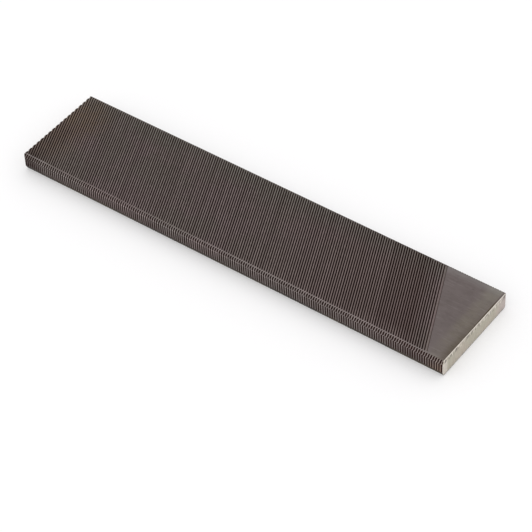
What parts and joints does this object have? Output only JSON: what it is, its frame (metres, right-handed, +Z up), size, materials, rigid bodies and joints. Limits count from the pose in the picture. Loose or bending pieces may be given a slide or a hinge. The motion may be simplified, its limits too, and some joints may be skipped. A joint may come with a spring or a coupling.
{
  "type": "fret bevel file",
  "caption": "Short flat steel file with slanted single-cut teeth on both faces, straight teeth on both edges and a smooth heel, for bevelling fret ends.",
  "frame": {"origin": "middle of the lower face, midway between the two ends and the two edges", "axes": "+X along the bar towards its smooth heel, +Y across its width, +Z up through its thickness"},
  "size_m": [0.1156, 0.0254, 0.0048],
  "materials": {
    "file_steel": "oiled hardened steel, dark in the teeth, satin on the heel and bright on the ground heel end"
  },
  "bodies": {
    "root": {"file_bar": "file_steel"}
  },
  "joints": []
}
